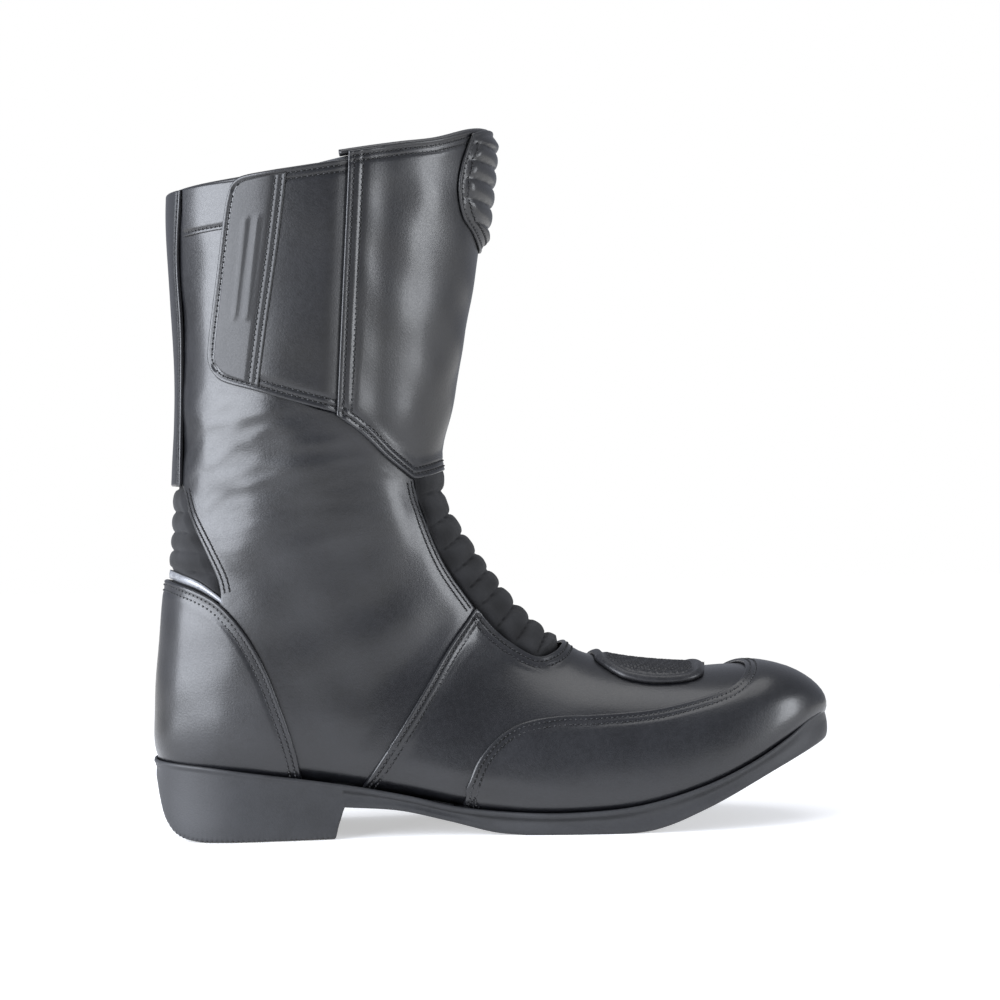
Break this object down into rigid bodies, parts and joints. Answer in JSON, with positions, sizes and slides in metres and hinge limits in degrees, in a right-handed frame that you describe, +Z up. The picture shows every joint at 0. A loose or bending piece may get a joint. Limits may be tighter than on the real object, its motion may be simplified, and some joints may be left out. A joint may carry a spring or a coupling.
{
  "type": "riding boot",
  "caption": "Left motorcycle riding boot in black leather, with ribbed flex panels, gear-shift pad, heel counter, stiffened ankle and a hook-and-loop flap over a side zip.",
  "frame": {"origin": "on the floor under the middle of the boot's box", "axes": "+Z up the shaft, +X towards the toe, +Y towards the outer side, so the zip and its flap face -Y"},
  "size_m": [0.3075, 0.1139, 0.3141],
  "materials": {
    "black_leather": "waxed, semi-gloss",
    "patch_leather": "smooth, semi-gloss",
    "sole_rubber": "matte",
    "pad_rubber": "satin, moulded texture",
    "bellows_fabric": "matte ribbed stretch fabric",
    "reflective": "silver reflective",
    "lining_mesh": "matte knit",
    "board": "matte",
    "steel": "brushed",
    "dark_metal": "blackened, satin",
    "stiffener_plastic": "matte",
    "webbing": "matte woven"
  },
  "bodies": {
    "foot": {"outsole": "sole_rubber", "insole_board": "board", "shank": "steel", "footbed": "lining_mesh", "vamp": "black_leather", "toe_cap": "black_leather", "toe_puff": "stiffener_plastic", "shift_pad": "pad_rubber", "heel_counter": "black_leather", "heel_stiffener": "stiffener_plastic", "reflective_strip": "reflective", "ankle_cup_medial": "stiffener_plastic", "ankle_cup_lateral": "stiffener_plastic", "instep_bellows": "bellows_fabric", "rear_bellows": "bellows_fabric"},
    "shaft": {"quarter_medial": "black_leather", "quarter_lateral": "black_leather", "shaft_front": "black_leather", "lining": "lining_mesh", "back_strip": "black_leather", "collar_facing_medial": "black_leather", "collar_facing_lateral": "black_leather", "shin_pad": "pad_rubber", "shin_plate": "stiffener_plastic", "zip_tape_front": "webbing", "zip_tape_rear": "webbing", "zip_chain": "dark_metal", "zip_top_stop": "dark_metal", "zip_bottom_stop": "dark_metal", "loop_strip": "webbing"},
    "flap": {"hook_strip": "webbing", "flap": "black_leather", "flap_patch": "patch_leather"},
    "zip_slider": {"zip_slider": "dark_metal"},
    "zip_pull": {"zip_pull": "dark_metal"}
  },
  "joints": [
    {"name": "ankle_flex", "type": "hinge", "parent": "foot", "child": "shaft", "pos_m": [-0.087, 0, 0.118], "axis": [0, 1, 0], "range_deg": [-10, 15], "stiffness_Nm_per_rad": 12, "deforming": ["quarter_medial", "quarter_lateral", "instep_bellows", "rear_bellows", "lining"]},
    {"name": "flap_open", "type": "hinge", "parent": "shaft", "child": "flap", "pos_m": [-0.06774, -0.05273, 0.24222], "axis": [0.0596, -0.0696, 0.9958], "range_deg": [0, 140]},
    {"name": "zip_slide", "type": "slide", "parent": "shaft", "child": "zip_slider", "axis": [-0.0596, 0.07, -0.9958], "range_m": [0, 0.0746], "deforming": ["zip_chain", "zip_tape_front", "zip_tape_rear"]},
    {"name": "zip_pull_lift", "type": "hinge", "parent": "zip_slider", "child": "zip_pull", "pos_m": [-0.07814, -0.05244, 0.2751], "axis": [-0.9972, 0.0414, 0.0626], "range_deg": [0, 75]}
  ],
  "couplings": [
    {"joint": "zip_pull_lift", "follows": "flap_open", "ratio": 0.5}
  ]
}
